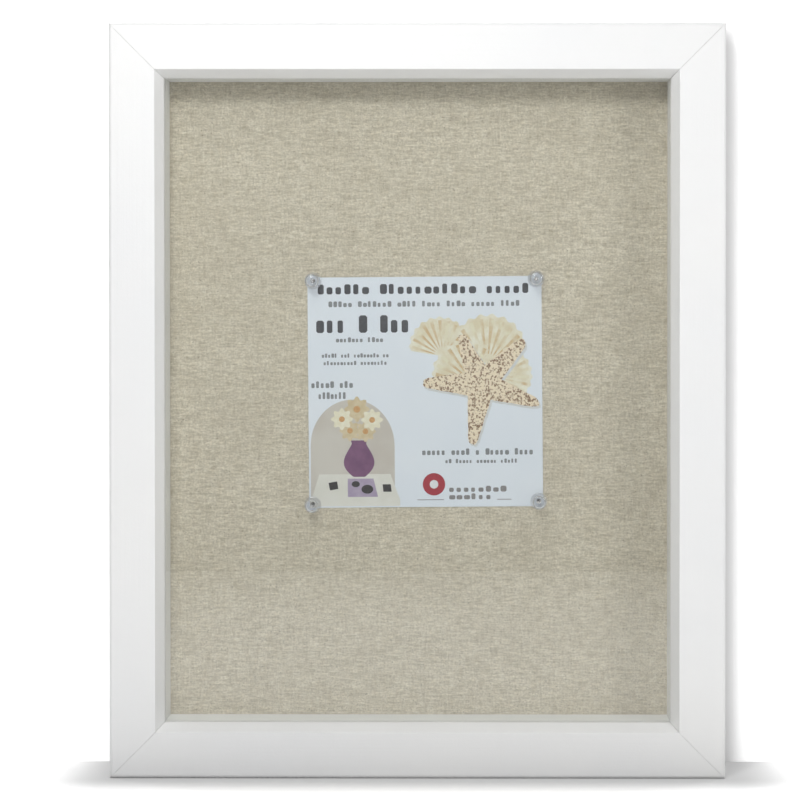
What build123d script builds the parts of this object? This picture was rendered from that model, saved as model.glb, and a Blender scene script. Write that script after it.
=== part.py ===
"""Front-opening shadow box for an 11 x 14 inch display: a bevelled glazed door on two small butt
hinges, closed by magnets on a deep box that holds a linen-covered cork board.

Frame: millimetres, X to the right, Y to the back (the front faces -Y), Z up. The origin is the
middle of the face that the box stands on.
"""
from build123d import *
import os

# ---- display opening and depth ------------------------------------------------------------------
display_width = 279.4       # 11 in between the inner walls
display_height = 355.6      # 14 in
cavity_depth = 25.4         # 1 in from the back of the glass to the linen

# ---- moulding -----------------------------------------------------------------------------------
rail_width = 29.5           # from the lip to the outside
bevel_width = 4.2
bevel_depth = 9.5
lip_thickness = 2.5         # straight edge between the bevel and the glass
edge_radius = 2.0           # outer front edge
back_edge_radius = 1.0
arris = 0.4                 # small rounding at the bevel and at the seam
mitre_gap = 0.1             # hairline between two rails

# ---- glazing ------------------------------------------------------------------------------------
glass_thickness = 2.0
glass_rabbet = 5.0
glass_clearance = 0.5
glass_arris = 0.2
strip_depth = 3.0

# ---- display board ------------------------------------------------------------------------------
board_rabbet = 8.0
board_clearance = 0.3
linen_thickness = 0.6
linen_hem = 14.0            # turned over the back of the core
core_thickness = 8.0
panel_thickness = 2.4
panel_clearance = 0.5
back_recess = 1.0           # from the back panel to the back of the box
seam_gap = 0.5              # between the door and the box

# ---- corner nails -------------------------------------------------------------------------------
corner_nail_leg = 4.5
corner_nail_thickness = 0.5
corner_nail_depth = 7.0
corner_nail_margin = 3.0    # to the rabbet and to the outside

# ---- hinges -------------------------------------------------------------------------------------
hinge_length = 25.0
hinge_leaf_width = 10.0
hinge_leaf_thickness = 0.8
hinge_knuckle_radius = 1.4
hinge_pin_radius = 0.6
hinge_pin_clearance = 0.05
hinge_axis_offset = 0.1     # outside the side of the box
hinge_knuckle_gap = 0.2
hinge_relief = 0.3          # between the barrel and the wood
hinge_from_end = 90.0       # from the top and the bottom of the box
hinge_screw_radius = 0.9
hinge_screw_head_radius = 1.7
hinge_screw_length = 9.0
hinge_screw_spacing = 15.0
hinge_slot_width = 0.4
hinge_slot_depth = 0.35
hinge_mortise_margin = 0.1

# ---- magnets and finger notch -------------------------------------------------------------------
magnet_radius = 3.0
magnet_thickness = 2.5
magnet_from_end = 90.0
notch_length = 28.0
notch_depth = 3.5           # in from the side
notch_reach = 6.0           # back from the seam

# ---- back hardware ------------------------------------------------------------------------------
point_length = 14.0
point_width = 5.0
point_thickness = 0.5
point_in_wood = 6.0
point_pitch = 110.0
hanger_length = 45.0
hanger_width = 9.0
hanger_thickness = 0.8
hanger_bow = 1.6            # the toothed edge stands off the wood by this much
hanger_tooth = 2.5
hanger_notch = 1.5
hanger_nail_radius = 0.7
hanger_nail_head_radius = 1.7
hanger_nail_length = 10.0
hanger_nail_spacing = 36.0
bumper_radius = 4.0
bumper_height = 2.6
bumper_rounding = 1.0

# ---- paper insert and push pins -----------------------------------------------------------------
card_width = 131.5
card_height = 129.5
card_thickness = 0.4
card_turn = 0.45            # degrees, as it was pinned up by hand
card_place = (3.8, 3.8)     # from the middle of the display
pin_insets = {              # which corner of the card, and in from its two edges
    "top_left": (-1, 1, 3.2, 1.9),
    "top_right": (1, 1, 3.0, 1.7),
    "bottom_left": (-1, -1, 2.0, 1.9),
    "bottom_right": (1, -1, 2.4, 2.9),
}
needle_radius = 0.5
needle_rest = 0.8           # core left behind the point
needle_in_head = 8.0
needle_point = 2.0
needle_clearance = 0.1
pin_head_length = 13.0
pin_flange_radius = 4.65
pin_flange_thickness = 1.6
pin_waist_radius = 2.3
pin_cap_radius = 3.7
pin_cap_thickness = 3.0
pin_dome = 0.8
pin_rim_radius = 0.35
pin_standoff = 0.2          # between the flange and the card

# ---- worked out from the sizes above ------------------------------------------------------------
glass_front = bevel_depth + lip_thickness
glass_back = glass_front + glass_thickness
door_depth = glass_back + strip_depth
box_front = door_depth + seam_gap
linen_front = glass_back + cavity_depth
core_front = linen_front + linen_thickness
core_back = core_front + core_thickness
panel_front = core_back + linen_thickness
panel_back = panel_front + panel_thickness
box_depth = panel_back + back_recess
rail_middle = rail_width / 2
corner_nail_places = (board_rabbet + corner_nail_margin, rail_width - corner_nail_leg - corner_nail_margin)
outer_width = display_width + 2 * rail_width
outer_height = display_height + 2 * rail_width
middle_height = outer_height / 2
front_y = -box_depth / 2

SIDES = {
    "top": (Vector(0, 0, 1), Vector(-1, 0, 0), display_height / 2, display_width / 2),
    "right": (Vector(1, 0, 0), Vector(0, 0, 1), display_width / 2, display_height / 2),
    "bottom": (Vector(0, 0, -1), Vector(1, 0, 0), display_height / 2, display_width / 2),
    "left": (Vector(-1, 0, 0), Vector(0, 0, -1), display_width / 2, display_height / 2),
}


def depth_plane(depth):
    """A plane across the box, so far behind the front face: x right, y up, looking at the front."""
    origin = (0, front_y + depth, middle_height)
    return Plane(origin=origin, x_dir=(1, 0, 0), z_dir=(0, -1, 0))


def save(part, label):
    """Names a finished piece and writes it."""
    part.label = label
    export_step(part, f"parts/{label}.step")


# ---- rails and glazing strips -------------------------------------------------------------------
def mitred_bar(side, outline, roundings=()):
    """A bar along one side of the display, cut at 45 degrees at both ends.

    The outline's points are (out from the lip, back from the front face). Each rounding is a
    point of the outline and the radius of the long edge that runs through it.
    """
    outward, along, from_middle, half_length = SIDES[side]
    origin = Vector(0, front_y, middle_height) + outward * from_middle
    section_plane = Plane(origin=origin, x_dir=outward, z_dir=along)
    reach = half_length + max(point[0] for point in outline)
    with BuildPart() as bar:
        with BuildSketch(section_plane) as section:
            with BuildLine():
                Polyline(*outline, close=True)
            make_face()
            for point, radius in roundings:
                fillet(section.vertices().sort_by_distance((*point, 0))[0], radius=radius)
        extrude(amount=reach, both=True)
        for end in (1, -1):
            cut_normal = (along * end - outward).normalized()
            lip_corner = origin + along * (end * half_length)
            cut = Plane(origin=lip_corner - cut_normal * (mitre_gap / 2), z_dir=cut_normal)
            split(bisect_by=cut, keep=Keep.BOTTOM)
    return bar.part


def corner_nails(back):
    """V-shaped corner nails across the four mitres, driven forward from this depth."""
    with BuildPart() as nails:
        with BuildSketch(depth_plane(back)):
            for x_side, y_side in ((1, 1), (-1, 1), (1, -1), (-1, -1)):
                for place in corner_nail_places:
                    x = x_side * (display_width / 2 + place)
                    y = y_side * (display_height / 2 + place)
                    x_leg = x + x_side * (corner_nail_leg - corner_nail_thickness) / 2
                    y_leg = y + y_side * (corner_nail_leg - corner_nail_thickness) / 2
                    with Locations((x_leg, y)):
                        Rectangle(corner_nail_leg, corner_nail_thickness)
                    with Locations((x, y_leg)):
                        Rectangle(corner_nail_thickness, corner_nail_leg)
        extrude(amount=corner_nail_depth)
    return nails.part


# ---- hinges -------------------------------------------------------------------------------------
hinge_axis_x = -outer_width / 2 - hinge_axis_offset
hinge_axis_depth = door_depth + seam_gap / 2
hinge_heights = (outer_height / 2 - hinge_from_end, hinge_from_end - outer_height / 2)
hinge_knuckle_length = (hinge_length - 2 * hinge_knuckle_gap) / 3
hinge_screw_x = hinge_axis_x + hinge_leaf_width / 2 + 1.0


def seam_face(on_door):
    """The face of the door or of the box at the seam, and the sign that leads into the wood."""
    if on_door:
        return depth_plane(door_depth), 1
    return depth_plane(box_front), -1


def hinge_barrel(height, radius, length):
    """A round bar on the hinge axis, centred at a height from the middle of the box."""
    origin = (hinge_axis_x, front_y + hinge_axis_depth, middle_height + height)
    with BuildPart() as barrel:
        with BuildSketch(Plane(origin=origin, z_dir=(0, 0, 1))):
            Circle(radius)
        extrude(amount=length / 2, both=True)
    return barrel.part


def hinge_relief_cut(height):
    """Room in the wood for one hinge barrel."""
    return hinge_barrel(height, hinge_knuckle_radius + hinge_relief, hinge_length + 2 * hinge_relief)


def hinge_leaf_plate(height, on_door, margin=0):
    """A leaf's flat plate, from the axis inwards, or the mortise for it with a margin all round."""
    face, inwards = seam_face(on_door)
    size = (hinge_leaf_width + margin, hinge_length + 2 * margin)
    with BuildPart() as plate:
        with BuildSketch(face):
            with Locations((hinge_axis_x, height)):
                Rectangle(*size, align=(Align.MIN, Align.CENTER))
        extrude(amount=inwards * hinge_leaf_thickness)
    return plate.part


def hinge_screw_places(heights):
    """Screw positions on a leaf, for the hinges at these heights."""
    half = hinge_screw_spacing / 2
    return [(hinge_screw_x, height + shift) for height in heights for shift in (half, -half)]


def hinge_screws(on_door, heights=hinge_heights):
    """Countersunk screws in the door or in the box, flush with the face of their leaf."""
    face, inwards = seam_face(on_door)
    places = hinge_screw_places(heights)
    shank_length = hinge_screw_length - 2 * hinge_screw_radius
    with BuildPart() as screws:
        for x, y in places:
            centre = face.from_local_coords((x, y, 0))
            line = Plane(origin=centre, x_dir=(1, 0, 0), z_dir=(0, 0, 1))
            with BuildSketch(line):
                with BuildLine():
                    Polyline(
                        (0, 0),
                        (hinge_screw_head_radius, 0),
                        (hinge_screw_radius, -inwards * hinge_leaf_thickness),
                        (hinge_screw_radius, -inwards * shank_length),
                        (0, -inwards * hinge_screw_length),
                        close=True,
                    )
                make_face()
            revolve(axis=Axis(centre, (0, 1, 0)))
    return screws.part


def slotted(screws, on_door):
    """The screws with a driver slot across each head."""
    face, inwards = seam_face(on_door)
    with BuildPart() as driven:
        add(screws)
        with BuildSketch(face):
            with Locations(*hinge_screw_places(hinge_heights)):
                Rectangle(2 * hinge_screw_head_radius, hinge_slot_width)
        extrude(amount=inwards * hinge_slot_depth, mode=Mode.SUBTRACT)
    return driven.part


def hinge_leaf(height, on_door):
    """One leaf with its knuckles: the middle one on the door, the two outer ones on the box."""
    pitch = hinge_knuckle_length + hinge_knuckle_gap
    middle, ends = (height,), (height - pitch, height + pitch)
    own, other = (middle, ends) if on_door else (ends, middle)
    bore = hinge_pin_radius + (hinge_pin_clearance if on_door else 0)
    room = (hinge_knuckle_radius + hinge_relief, hinge_knuckle_length + 2 * hinge_knuckle_gap)
    with BuildPart() as leaf:
        add(hinge_leaf_plate(height, on_door))
        for place in other:
            add(hinge_barrel(place, *room), mode=Mode.SUBTRACT)
        for place in own:
            add(hinge_barrel(place, hinge_knuckle_radius, hinge_knuckle_length))
        add(hinge_barrel(height, bore, hinge_length), mode=Mode.SUBTRACT)
        add(hinge_screws(on_door, (height,)), mode=Mode.SUBTRACT)
    return leaf.part


def hinge_pockets(on_door):
    """What the two hinges take out of a left rail: barrels, mortises and screw holes."""
    with BuildPart() as pockets:
        for height in hinge_heights:
            relief_length = hinge_length + 2 * hinge_relief
            add(hinge_barrel(height, hinge_knuckle_radius + hinge_relief, relief_length))
            add(hinge_leaf_plate(height, on_door, margin=hinge_mortise_margin))
        add(hinge_screws(on_door))
    return pockets.part


# ---- magnets, finger notch, points, hangers and bumpers -----------------------------------------
def magnets(on_door):
    """Two disc magnets in the right rail, flush with the seam."""
    face, inwards = seam_face(on_door)
    x = outer_width / 2 - (rail_width - glass_rabbet) / 2
    y = outer_height / 2 - magnet_from_end
    with BuildPart() as discs:
        with BuildSketch(face):
            with Locations((x, y), (x, -y)):
                Circle(magnet_radius)
        extrude(amount=inwards * magnet_thickness)
    return discs.part


def side_plane(side, depth):
    """A plane across the box at a depth: x along a side, y out from its lip, normal to the back."""
    outward, along, from_middle, _ = SIDES[side]
    origin = Vector(0, front_y + depth, middle_height) + outward * from_middle
    return Plane(origin=origin, x_dir=along, z_dir=(0, 1, 0))


def panel_points():
    """Flat points pushed into all four rails behind the back panel, evenly spaced."""
    with BuildPart() as points:
        for side, (_, _, _, half_length) in SIDES.items():
            count = int(2 * half_length // point_pitch)
            with BuildSketch(side_plane(side, panel_back)):
                with Locations((0, board_rabbet + point_in_wood - point_length / 2)):
                    with GridLocations(point_pitch, 0, count, 1):
                        Rectangle(point_width, point_length)
            extrude(amount=point_thickness)
    return points.part


def hanger_nails(side):
    """The two nails of one sawtooth hanger, heads flat on its plate."""
    place = rail_middle + hanger_width / 4
    with BuildPart() as nails:
        with BuildSketch(side_plane(side, box_depth + hanger_thickness)):
            with Locations((0, place)):
                with GridLocations(hanger_nail_spacing, 0, 2, 1):
                    Circle(hanger_nail_head_radius)
        extrude(amount=hanger_thickness)
        with BuildSketch(side_plane(side, box_depth + hanger_thickness)):
            with Locations((0, place)):
                with GridLocations(hanger_nail_spacing, 0, 2, 1):
                    Circle(hanger_nail_radius)
        extrude(amount=-hanger_nail_length)
    return nails.part


def sawtooth_hanger(side):
    """A steel strip nailed to the back of a rail; its inner edge stands off and is toothed."""
    outward, along, from_middle, _ = SIDES[side]
    origin = Vector(0, front_y, middle_height) + outward * from_middle
    outer_edge = rail_middle + hanger_width / 2
    inner_edge = rail_middle - hanger_width / 2
    wood, plate = box_depth, box_depth + hanger_thickness
    with BuildPart() as hanger:
        with BuildSketch(Plane(origin=origin, x_dir=outward, z_dir=along)):
            with BuildLine():
                Polyline(
                    (outer_edge, wood),
                    (outer_edge, plate),
                    (rail_middle, plate),
                    (inner_edge, plate + hanger_bow),
                    (inner_edge, wood + hanger_bow),
                    (rail_middle, wood),
                    close=True,
                )
            make_face()
        extrude(amount=hanger_length / 2, both=True)
        with BuildSketch(side_plane(side, box_depth)):
            with Locations((0, inner_edge)):
                with GridLocations(hanger_tooth, 0, int(hanger_nail_spacing // hanger_tooth), 1):
                    Rectangle(hanger_notch, hanger_notch, rotation=45)
        extrude(amount=hanger_thickness + hanger_bow, mode=Mode.SUBTRACT)
        add(hanger_nails(side), mode=Mode.SUBTRACT)
    return hanger.part


# ---- push pins ----------------------------------------------------------------------------------
card_front = linen_front - card_thickness
flange_back = card_front - pin_standoff
needle_length = core_back - needle_rest - flange_back
card_location = Location((*card_place, 0), card_turn)


def pin_place(name):
    """Where a push pin stands, from the middle of the display, near a corner of the turned card."""
    x_side, y_side, x_inset, y_inset = pin_insets[name]
    x = x_side * (card_width / 2 - x_inset)
    y = y_side * (card_height / 2 - y_inset)
    place = (card_location * Location((x, y, 0))).position
    return place.X, place.Y


def pin_plane(place):
    """Through a push pin's axis: x is the radius, y runs to the front from the flange's back."""
    x, y = place
    return Plane(origin=(x, front_y + flange_back, middle_height + y), x_dir=(1, 0, 0), z_dir=(0, 0, -1))


def pin_axis(place):
    """The axis of the push pin at this place."""
    return Axis(pin_plane(place).origin, (0, 1, 0))


def pin_head(place):
    """A moulded head: wide flange, hollow waist and a domed cap, with the needle's bore."""
    cap_edge = pin_head_length - pin_dome
    waist = (pin_waist_radius, (pin_flange_thickness + pin_head_length - pin_cap_thickness) / 2)
    with BuildPart() as head:
        with BuildSketch(pin_plane(place)) as section:
            with BuildLine():
                Polyline(
                    (0, pin_head_length),
                    (0, needle_in_head),
                    (needle_radius, needle_in_head),
                    (needle_radius, 0),
                    (pin_flange_radius, 0),
                    (pin_flange_radius, pin_flange_thickness),
                )
                ThreePointArc(
                    (pin_flange_radius, pin_flange_thickness),
                    waist,
                    (pin_cap_radius, pin_head_length - pin_cap_thickness),
                )
                Line((pin_cap_radius, pin_head_length - pin_cap_thickness), (pin_cap_radius, cap_edge))
                TangentArc((0, pin_head_length), (pin_cap_radius, cap_edge), tangent=(1, 0))
            make_face()
            rims = section.vertices().filter_by(lambda corner: corner.X > pin_waist_radius)
            fillet(rims, radius=pin_rim_radius)
        revolve(axis=pin_axis(place))
    return head.part


def pin_needle(place):
    """A pointed steel needle, moulded into the head."""
    with BuildPart() as needle:
        with BuildSketch(pin_plane(place)):
            with BuildLine():
                Polyline(
                    (0, needle_in_head),
                    (needle_radius, needle_in_head),
                    (needle_radius, needle_point - needle_length),
                    (0, -needle_length),
                    close=True,
                )
            make_face()
        revolve(axis=pin_axis(place))
    return needle.part


def pin_holes():
    """Where the four needles pass through the card and the linen into the core."""
    with BuildPart() as holes:
        with BuildSketch(depth_plane(card_front)):
            with Locations(*[pin_place(name) for name in pin_insets]):
                Circle(needle_radius + needle_clearance)
        extrude(amount=-(needle_length - pin_standoff + needle_clearance))
    return holes.part


# ---- the pieces ---------------------------------------------------------------------------------
os.makedirs("parts", exist_ok=True)

door_section = (
    (0, bevel_depth),
    (bevel_width, 0),
    (rail_width, 0),
    (rail_width, door_depth),
    (glass_rabbet, door_depth),
    (glass_rabbet, glass_front),
    (0, glass_front),
)
door_roundings = (
    ((0, bevel_depth), arris),
    ((bevel_width, 0), arris),
    ((rail_width, 0), edge_radius),
    ((rail_width, door_depth), arris),
)
box_section = (
    (0, box_front),
    (rail_width, box_front),
    (rail_width, box_depth),
    (board_rabbet, box_depth),
    (board_rabbet, linen_front),
    (0, linen_front),
)
box_roundings = (
    ((rail_width, box_front), arris),
    ((rail_width, box_depth), back_edge_radius),
)
strip_section = (
    (0, glass_back),
    (glass_rabbet, glass_back),
    (glass_rabbet, door_depth),
    (0, door_depth),
)

for side in SIDES:
    with BuildPart() as door_rail:
        add(mitred_bar(side, door_section, door_roundings))
        add(corner_nails(door_depth), mode=Mode.SUBTRACT)
        if side == "left":
            add(hinge_pockets(on_door=True), mode=Mode.SUBTRACT)
        if side == "right":
            add(magnets(on_door=True), mode=Mode.SUBTRACT)
    save(door_rail.part, f"door_rail_{side}")

    with BuildPart() as box_rail:
        add(mitred_bar(side, box_section, box_roundings))
        add(corner_nails(box_depth), mode=Mode.SUBTRACT)
        add(panel_points(), mode=Mode.SUBTRACT)
        if side == "left":
            add(hinge_pockets(on_door=False), mode=Mode.SUBTRACT)
        if side == "right":
            add(magnets(on_door=False), mode=Mode.SUBTRACT)
            with BuildSketch(depth_plane(box_front)):
                with Locations((outer_width / 2, 0)):
                    SlotOverall(notch_length, 2 * notch_depth, rotation=90)
            extrude(amount=-notch_reach, mode=Mode.SUBTRACT)
        if side in ("top", "left"):
            add(hanger_nails(side), mode=Mode.SUBTRACT)
    save(box_rail.part, f"box_rail_{side}")

    with BuildPart() as glazing_strip:
        add(mitred_bar(side, strip_section, (((0, door_depth), arris),)))
    save(glazing_strip.part, f"glazing_strip_{side}")

save(corner_nails(door_depth), "door_corner_nails")
save(corner_nails(box_depth), "box_corner_nails")

for name, height in zip(("upper", "lower"), hinge_heights):
    save(hinge_leaf(height, on_door=True), f"door_hinge_leaf_{name}")
    save(hinge_leaf(height, on_door=False), f"box_hinge_leaf_{name}")
    save(hinge_barrel(height, hinge_pin_radius, hinge_length), f"hinge_pin_{name}")

save(slotted(hinge_screws(on_door=True), on_door=True), "door_hinge_screws")
save(slotted(hinge_screws(on_door=False), on_door=False), "box_hinge_screws")
save(magnets(on_door=True), "door_magnets")
save(magnets(on_door=False), "box_magnets")

with BuildPart() as glass_pane:
    with BuildSketch(depth_plane(glass_back)):
        overlap = glass_rabbet - glass_clearance
        Rectangle(display_width + 2 * overlap, display_height + 2 * overlap)
    extrude(amount=glass_thickness)
    chamfer(glass_pane.edges(), length=glass_arris)
save(glass_pane.part, "glass_pane")

board_overlap = board_rabbet - board_clearance
core_width = display_width + 2 * (board_overlap - linen_thickness)
core_height = display_height + 2 * (board_overlap - linen_thickness)

with BuildPart() as cork_core:
    with BuildSketch(depth_plane(core_front)):
        Rectangle(core_width, core_height)
    extrude(amount=-core_thickness)
    add(pin_holes(), mode=Mode.SUBTRACT)
save(cork_core.part, "cork_core")

with BuildPart() as linen_cover:
    with BuildSketch(depth_plane(linen_front)):
        Rectangle(core_width + 2 * linen_thickness, core_height + 2 * linen_thickness)
    extrude(amount=-(core_thickness + 2 * linen_thickness))
    with BuildSketch(depth_plane(core_front)):
        Rectangle(core_width, core_height)
    extrude(amount=-core_thickness, mode=Mode.SUBTRACT)
    with BuildSketch(depth_plane(core_back)):
        Rectangle(core_width - 2 * linen_hem, core_height - 2 * linen_hem)
    extrude(amount=-linen_thickness, mode=Mode.SUBTRACT)
    add(pin_holes(), mode=Mode.SUBTRACT)
save(linen_cover.part, "linen_cover")

with BuildPart() as back_panel:
    with BuildSketch(depth_plane(panel_front)):
        overlap = board_rabbet - panel_clearance
        Rectangle(display_width + 2 * overlap, display_height + 2 * overlap)
    extrude(amount=-panel_thickness)
save(back_panel.part, "back_panel")

save(panel_points(), "panel_points")
save(sawtooth_hanger("top"), "hanger_upright")
save(sawtooth_hanger("left"), "hanger_sideways")

with BuildPart() as both_hanger_nails:
    add(hanger_nails("top"))
    add(hanger_nails("left"))
save(both_hanger_nails.part, "hanger_nails")

with BuildPart() as wall_bumpers:
    with BuildSketch(depth_plane(box_depth)):
        with GridLocations(outer_width - rail_width, outer_height - rail_width, 2, 2):
            Circle(bumper_radius)
    extrude(amount=-bumper_height)
    fillet(wall_bumpers.faces().sort_by(Axis.Y)[-4:].edges(), radius=bumper_rounding)
save(wall_bumpers.part, "wall_bumpers")

with BuildPart() as insert_card:
    with BuildSketch(depth_plane(linen_front)):
        with Locations(card_location):
            Rectangle(card_width, card_height)
    extrude(amount=card_thickness)
    add(pin_holes(), mode=Mode.SUBTRACT)
save(insert_card.part, "insert_card")

for name in pin_insets:
    save(pin_head(pin_place(name)), f"push_pin_head_{name}")
    save(pin_needle(pin_place(name)), f"push_pin_needle_{name}")
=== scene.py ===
"""A front-opening shadow box with a linen pin board, a paper insert and four clear push pins."""
import math

import bpy
import numpy as np
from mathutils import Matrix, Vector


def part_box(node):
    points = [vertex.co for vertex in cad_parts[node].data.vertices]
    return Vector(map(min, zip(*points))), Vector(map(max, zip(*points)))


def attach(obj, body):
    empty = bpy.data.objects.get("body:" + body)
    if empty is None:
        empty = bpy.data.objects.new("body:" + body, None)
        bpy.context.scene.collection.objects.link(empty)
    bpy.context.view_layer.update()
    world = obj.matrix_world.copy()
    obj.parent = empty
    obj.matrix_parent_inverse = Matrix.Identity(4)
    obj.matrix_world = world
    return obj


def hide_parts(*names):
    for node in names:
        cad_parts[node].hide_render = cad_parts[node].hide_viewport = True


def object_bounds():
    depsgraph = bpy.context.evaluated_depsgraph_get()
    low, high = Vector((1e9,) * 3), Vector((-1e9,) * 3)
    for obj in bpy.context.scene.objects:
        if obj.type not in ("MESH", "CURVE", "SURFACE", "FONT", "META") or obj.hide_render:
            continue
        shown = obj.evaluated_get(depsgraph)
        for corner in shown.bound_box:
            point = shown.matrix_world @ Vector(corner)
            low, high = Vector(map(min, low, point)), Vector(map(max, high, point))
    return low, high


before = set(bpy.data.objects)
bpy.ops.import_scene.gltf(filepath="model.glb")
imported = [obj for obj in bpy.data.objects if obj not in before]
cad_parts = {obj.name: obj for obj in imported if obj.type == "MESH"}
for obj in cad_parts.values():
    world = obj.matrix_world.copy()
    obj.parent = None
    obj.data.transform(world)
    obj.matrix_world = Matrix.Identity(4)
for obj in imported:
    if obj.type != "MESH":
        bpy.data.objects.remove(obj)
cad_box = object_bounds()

MM = 0.001


# ---- Camera -------------------------------------------------------------------------------------
# A long lens a metre and a half in front, a little right of the middle and a little above it,
# turned by less than a degree, so that the box is seen square on and none of its sides shows.
glass_low, glass_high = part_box("glass_pane")
rail_low, rail_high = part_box("door_rail_top")
front_y = rail_low.y
middle_z = (glass_low.z + glass_high.z) / 2

camera_data = bpy.data.cameras.new("camera")
camera_data.lens = 123.4
camera_data.sensor_width = 36
camera_data.shift_x = -0.075
camera_data.shift_y = -0.09
camera = bpy.data.objects.new("camera", camera_data)
camera.location = (0.0322, front_y - 1.502, middle_z + 0.0615)
camera.rotation_euler = (math.radians(90 - 0.81), 0, math.radians(0.33))
bpy.context.scene.collection.objects.link(camera)
bpy.context.scene.camera = camera


# ---- Painted rails ------------------------------------------------------------------------------
# Eight mitred wooden mouldings and four strips, sprayed white. The paint is satin with a fine
# orange peel, faint grain telegraphs through it, and a hairline shows where the mitres meet.
def new_group(name, inputs, outputs):
    """A shader node group with float, colour or vector sockets; returns it with its two ends."""
    group = bpy.data.node_groups.new(name, "ShaderNodeTree")
    kinds = {"f": "NodeSocketFloat", "c": "NodeSocketColor", "v": "NodeSocketVector"}
    for label, kind, value in inputs:
        socket = group.interface.new_socket(label, in_out="INPUT", socket_type=kinds[kind])
        socket.default_value = value
    for label, kind in outputs:
        group.interface.new_socket(label, in_out="OUTPUT", socket_type=kinds[kind])
    return group, group.nodes.new("NodeGroupInput"), group.nodes.new("NodeGroupOutput")


def node(tree, kind, links=(), **settings):
    """A node of a tree, with its settings and its inputs, each a value or another node's output."""
    made = tree.nodes.new("ShaderNode" + kind)
    for key, value in settings.items():
        setattr(made, key, value)
    for socket, value in dict(links).items():
        if isinstance(value, bpy.types.NodeSocket):
            tree.links.new(value, made.inputs[socket])
        else:
            made.inputs[socket].default_value = value
    return made


def maths(tree, operation, a, b=0.0, c=0.0):
    """The result of one Math node."""
    return node(tree, "Math", {0: a, 1: b, 2: c}, operation=operation).outputs[0]


def ramp(tree, value, low, high, to_low=0.0, to_high=1.0):
    """Maps a value from one range to another, clamped."""
    links = {"Value": value, "From Min": low, "From Max": high, "To Min": to_low, "To Max": to_high}
    return node(tree, "MapRange", links, clamp=True).outputs[0]


def mixed(tree, factor, a, b):
    """The result of one colour Mix node."""
    return node(tree, "Mix", {0: factor, 6: a, 7: b}, data_type="RGBA").outputs[2]


def new_material(name):
    """An empty node material with its output and a Principled shader."""
    material = bpy.data.materials.new(name)
    material.use_nodes = True
    tree = material.node_tree
    tree.nodes.clear()
    shader = tree.nodes.new("ShaderNodeBsdfPrincipled")
    output = tree.nodes.new("ShaderNodeOutputMaterial")
    tree.links.new(shader.outputs[0], output.inputs[0])
    return material, tree, shader, output


def object_point(tree):
    """Object coordinates, which are the row frame's metres."""
    return node(tree, "TexCoord").outputs["Object"]


def bumped(tree, height, distance):
    """A Bump node's normal for a height between 0 and 1 that is distance metres deep."""
    return node(tree, "Bump", {"Height": height, "Distance": distance}).outputs[0]


def dress(material, *names):
    """Gives CAD nodes a material."""
    for name in names:
        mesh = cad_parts[name].data
        mesh.materials.clear()
        mesh.materials.append(material)


def patches_group():
    """Blotches, streaks or flecks: noise whose blobs are Size metres large, cut between two levels."""
    inputs = [
        ("Point", "v", (0, 0, 0)),
        ("Size", "v", (0.01, 0.01, 0.01)),
        ("Detail", "f", 3.0),
        ("Low", "f", 0.3),
        ("High", "f", 0.7),
        ("Amount", "f", 1.0),
    ]
    group, start, end = new_group("patches", inputs, [("Mask", "f")])
    place = node(
        group,
        "VectorMath",
        {0: start.outputs["Point"], 1: start.outputs["Size"]},
        operation="DIVIDE",
    )
    noise = node(
        group,
        "TexNoise",
        {"Vector": place.outputs[0], "Scale": 1.0, "Detail": start.outputs["Detail"], "Roughness": 0.58},
    )
    cut = ramp(
        group,
        noise.outputs["Fac"],
        start.outputs["Low"],
        start.outputs["High"],
        0.0,
        start.outputs["Amount"],
    )
    group.links.new(cut, end.inputs["Mask"])
    return group


patches_tree = patches_group()


def patches(tree, size, low=0.3, high=0.7, amount=1.0, detail=3.0, point=None):
    """One use of the patches group; its size is a number or (x, y, z), in metres."""
    use = node(tree, "Group", node_tree=patches_tree)
    tree.links.new(object_point(tree) if point is None else point, use.inputs["Point"])
    if isinstance(size, bpy.types.NodeSocket):
        tree.links.new(size, use.inputs["Size"])
    else:
        use.inputs["Size"].default_value = size if isinstance(size, tuple) else (size, size, size)
    for label, value in (("Detail", detail), ("Low", low), ("High", high), ("Amount", amount)):
        use.inputs[label].default_value = value
    return use.outputs["Mask"]


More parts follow.
